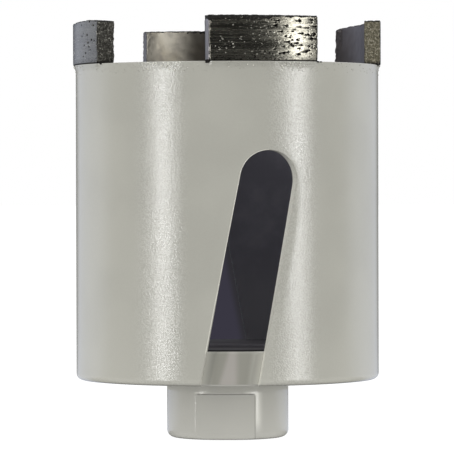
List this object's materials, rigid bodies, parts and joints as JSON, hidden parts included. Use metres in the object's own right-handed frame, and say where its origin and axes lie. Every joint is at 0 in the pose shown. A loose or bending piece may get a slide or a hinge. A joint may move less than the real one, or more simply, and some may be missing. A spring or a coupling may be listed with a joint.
{
  "type": "diamond core bit",
  "caption": "Dry diamond core bit for socket boxes: steel tube with leaning dust slots, cutting segments on its rim and a threaded hub with wrench flats.",
  "frame": {"origin": "centre of the hub's end face, where the bit stands", "axes": "+Z along the bit's axis from the hub to the cutting segments, -Y towards the front, with the front slot and wrench flat, +X to the right"},
  "size_m": [0.068, 0.068, 0.0917],
  "materials": {
    "barrel_paint": "fine metallic powder coat, warm light grey",
    "base_paint": "smooth metallic powder coat, warm light grey",
    "segment_metal": "sintered metal with diamond grit, ground faces"
  },
  "bodies": {
    "root": {"barrel": "barrel_paint", "threaded_base": "base_paint", "segment_1": "segment_metal", "segment_2": "segment_metal", "segment_3": "segment_metal", "segment_4": "segment_metal"}
  },
  "joints": []
}
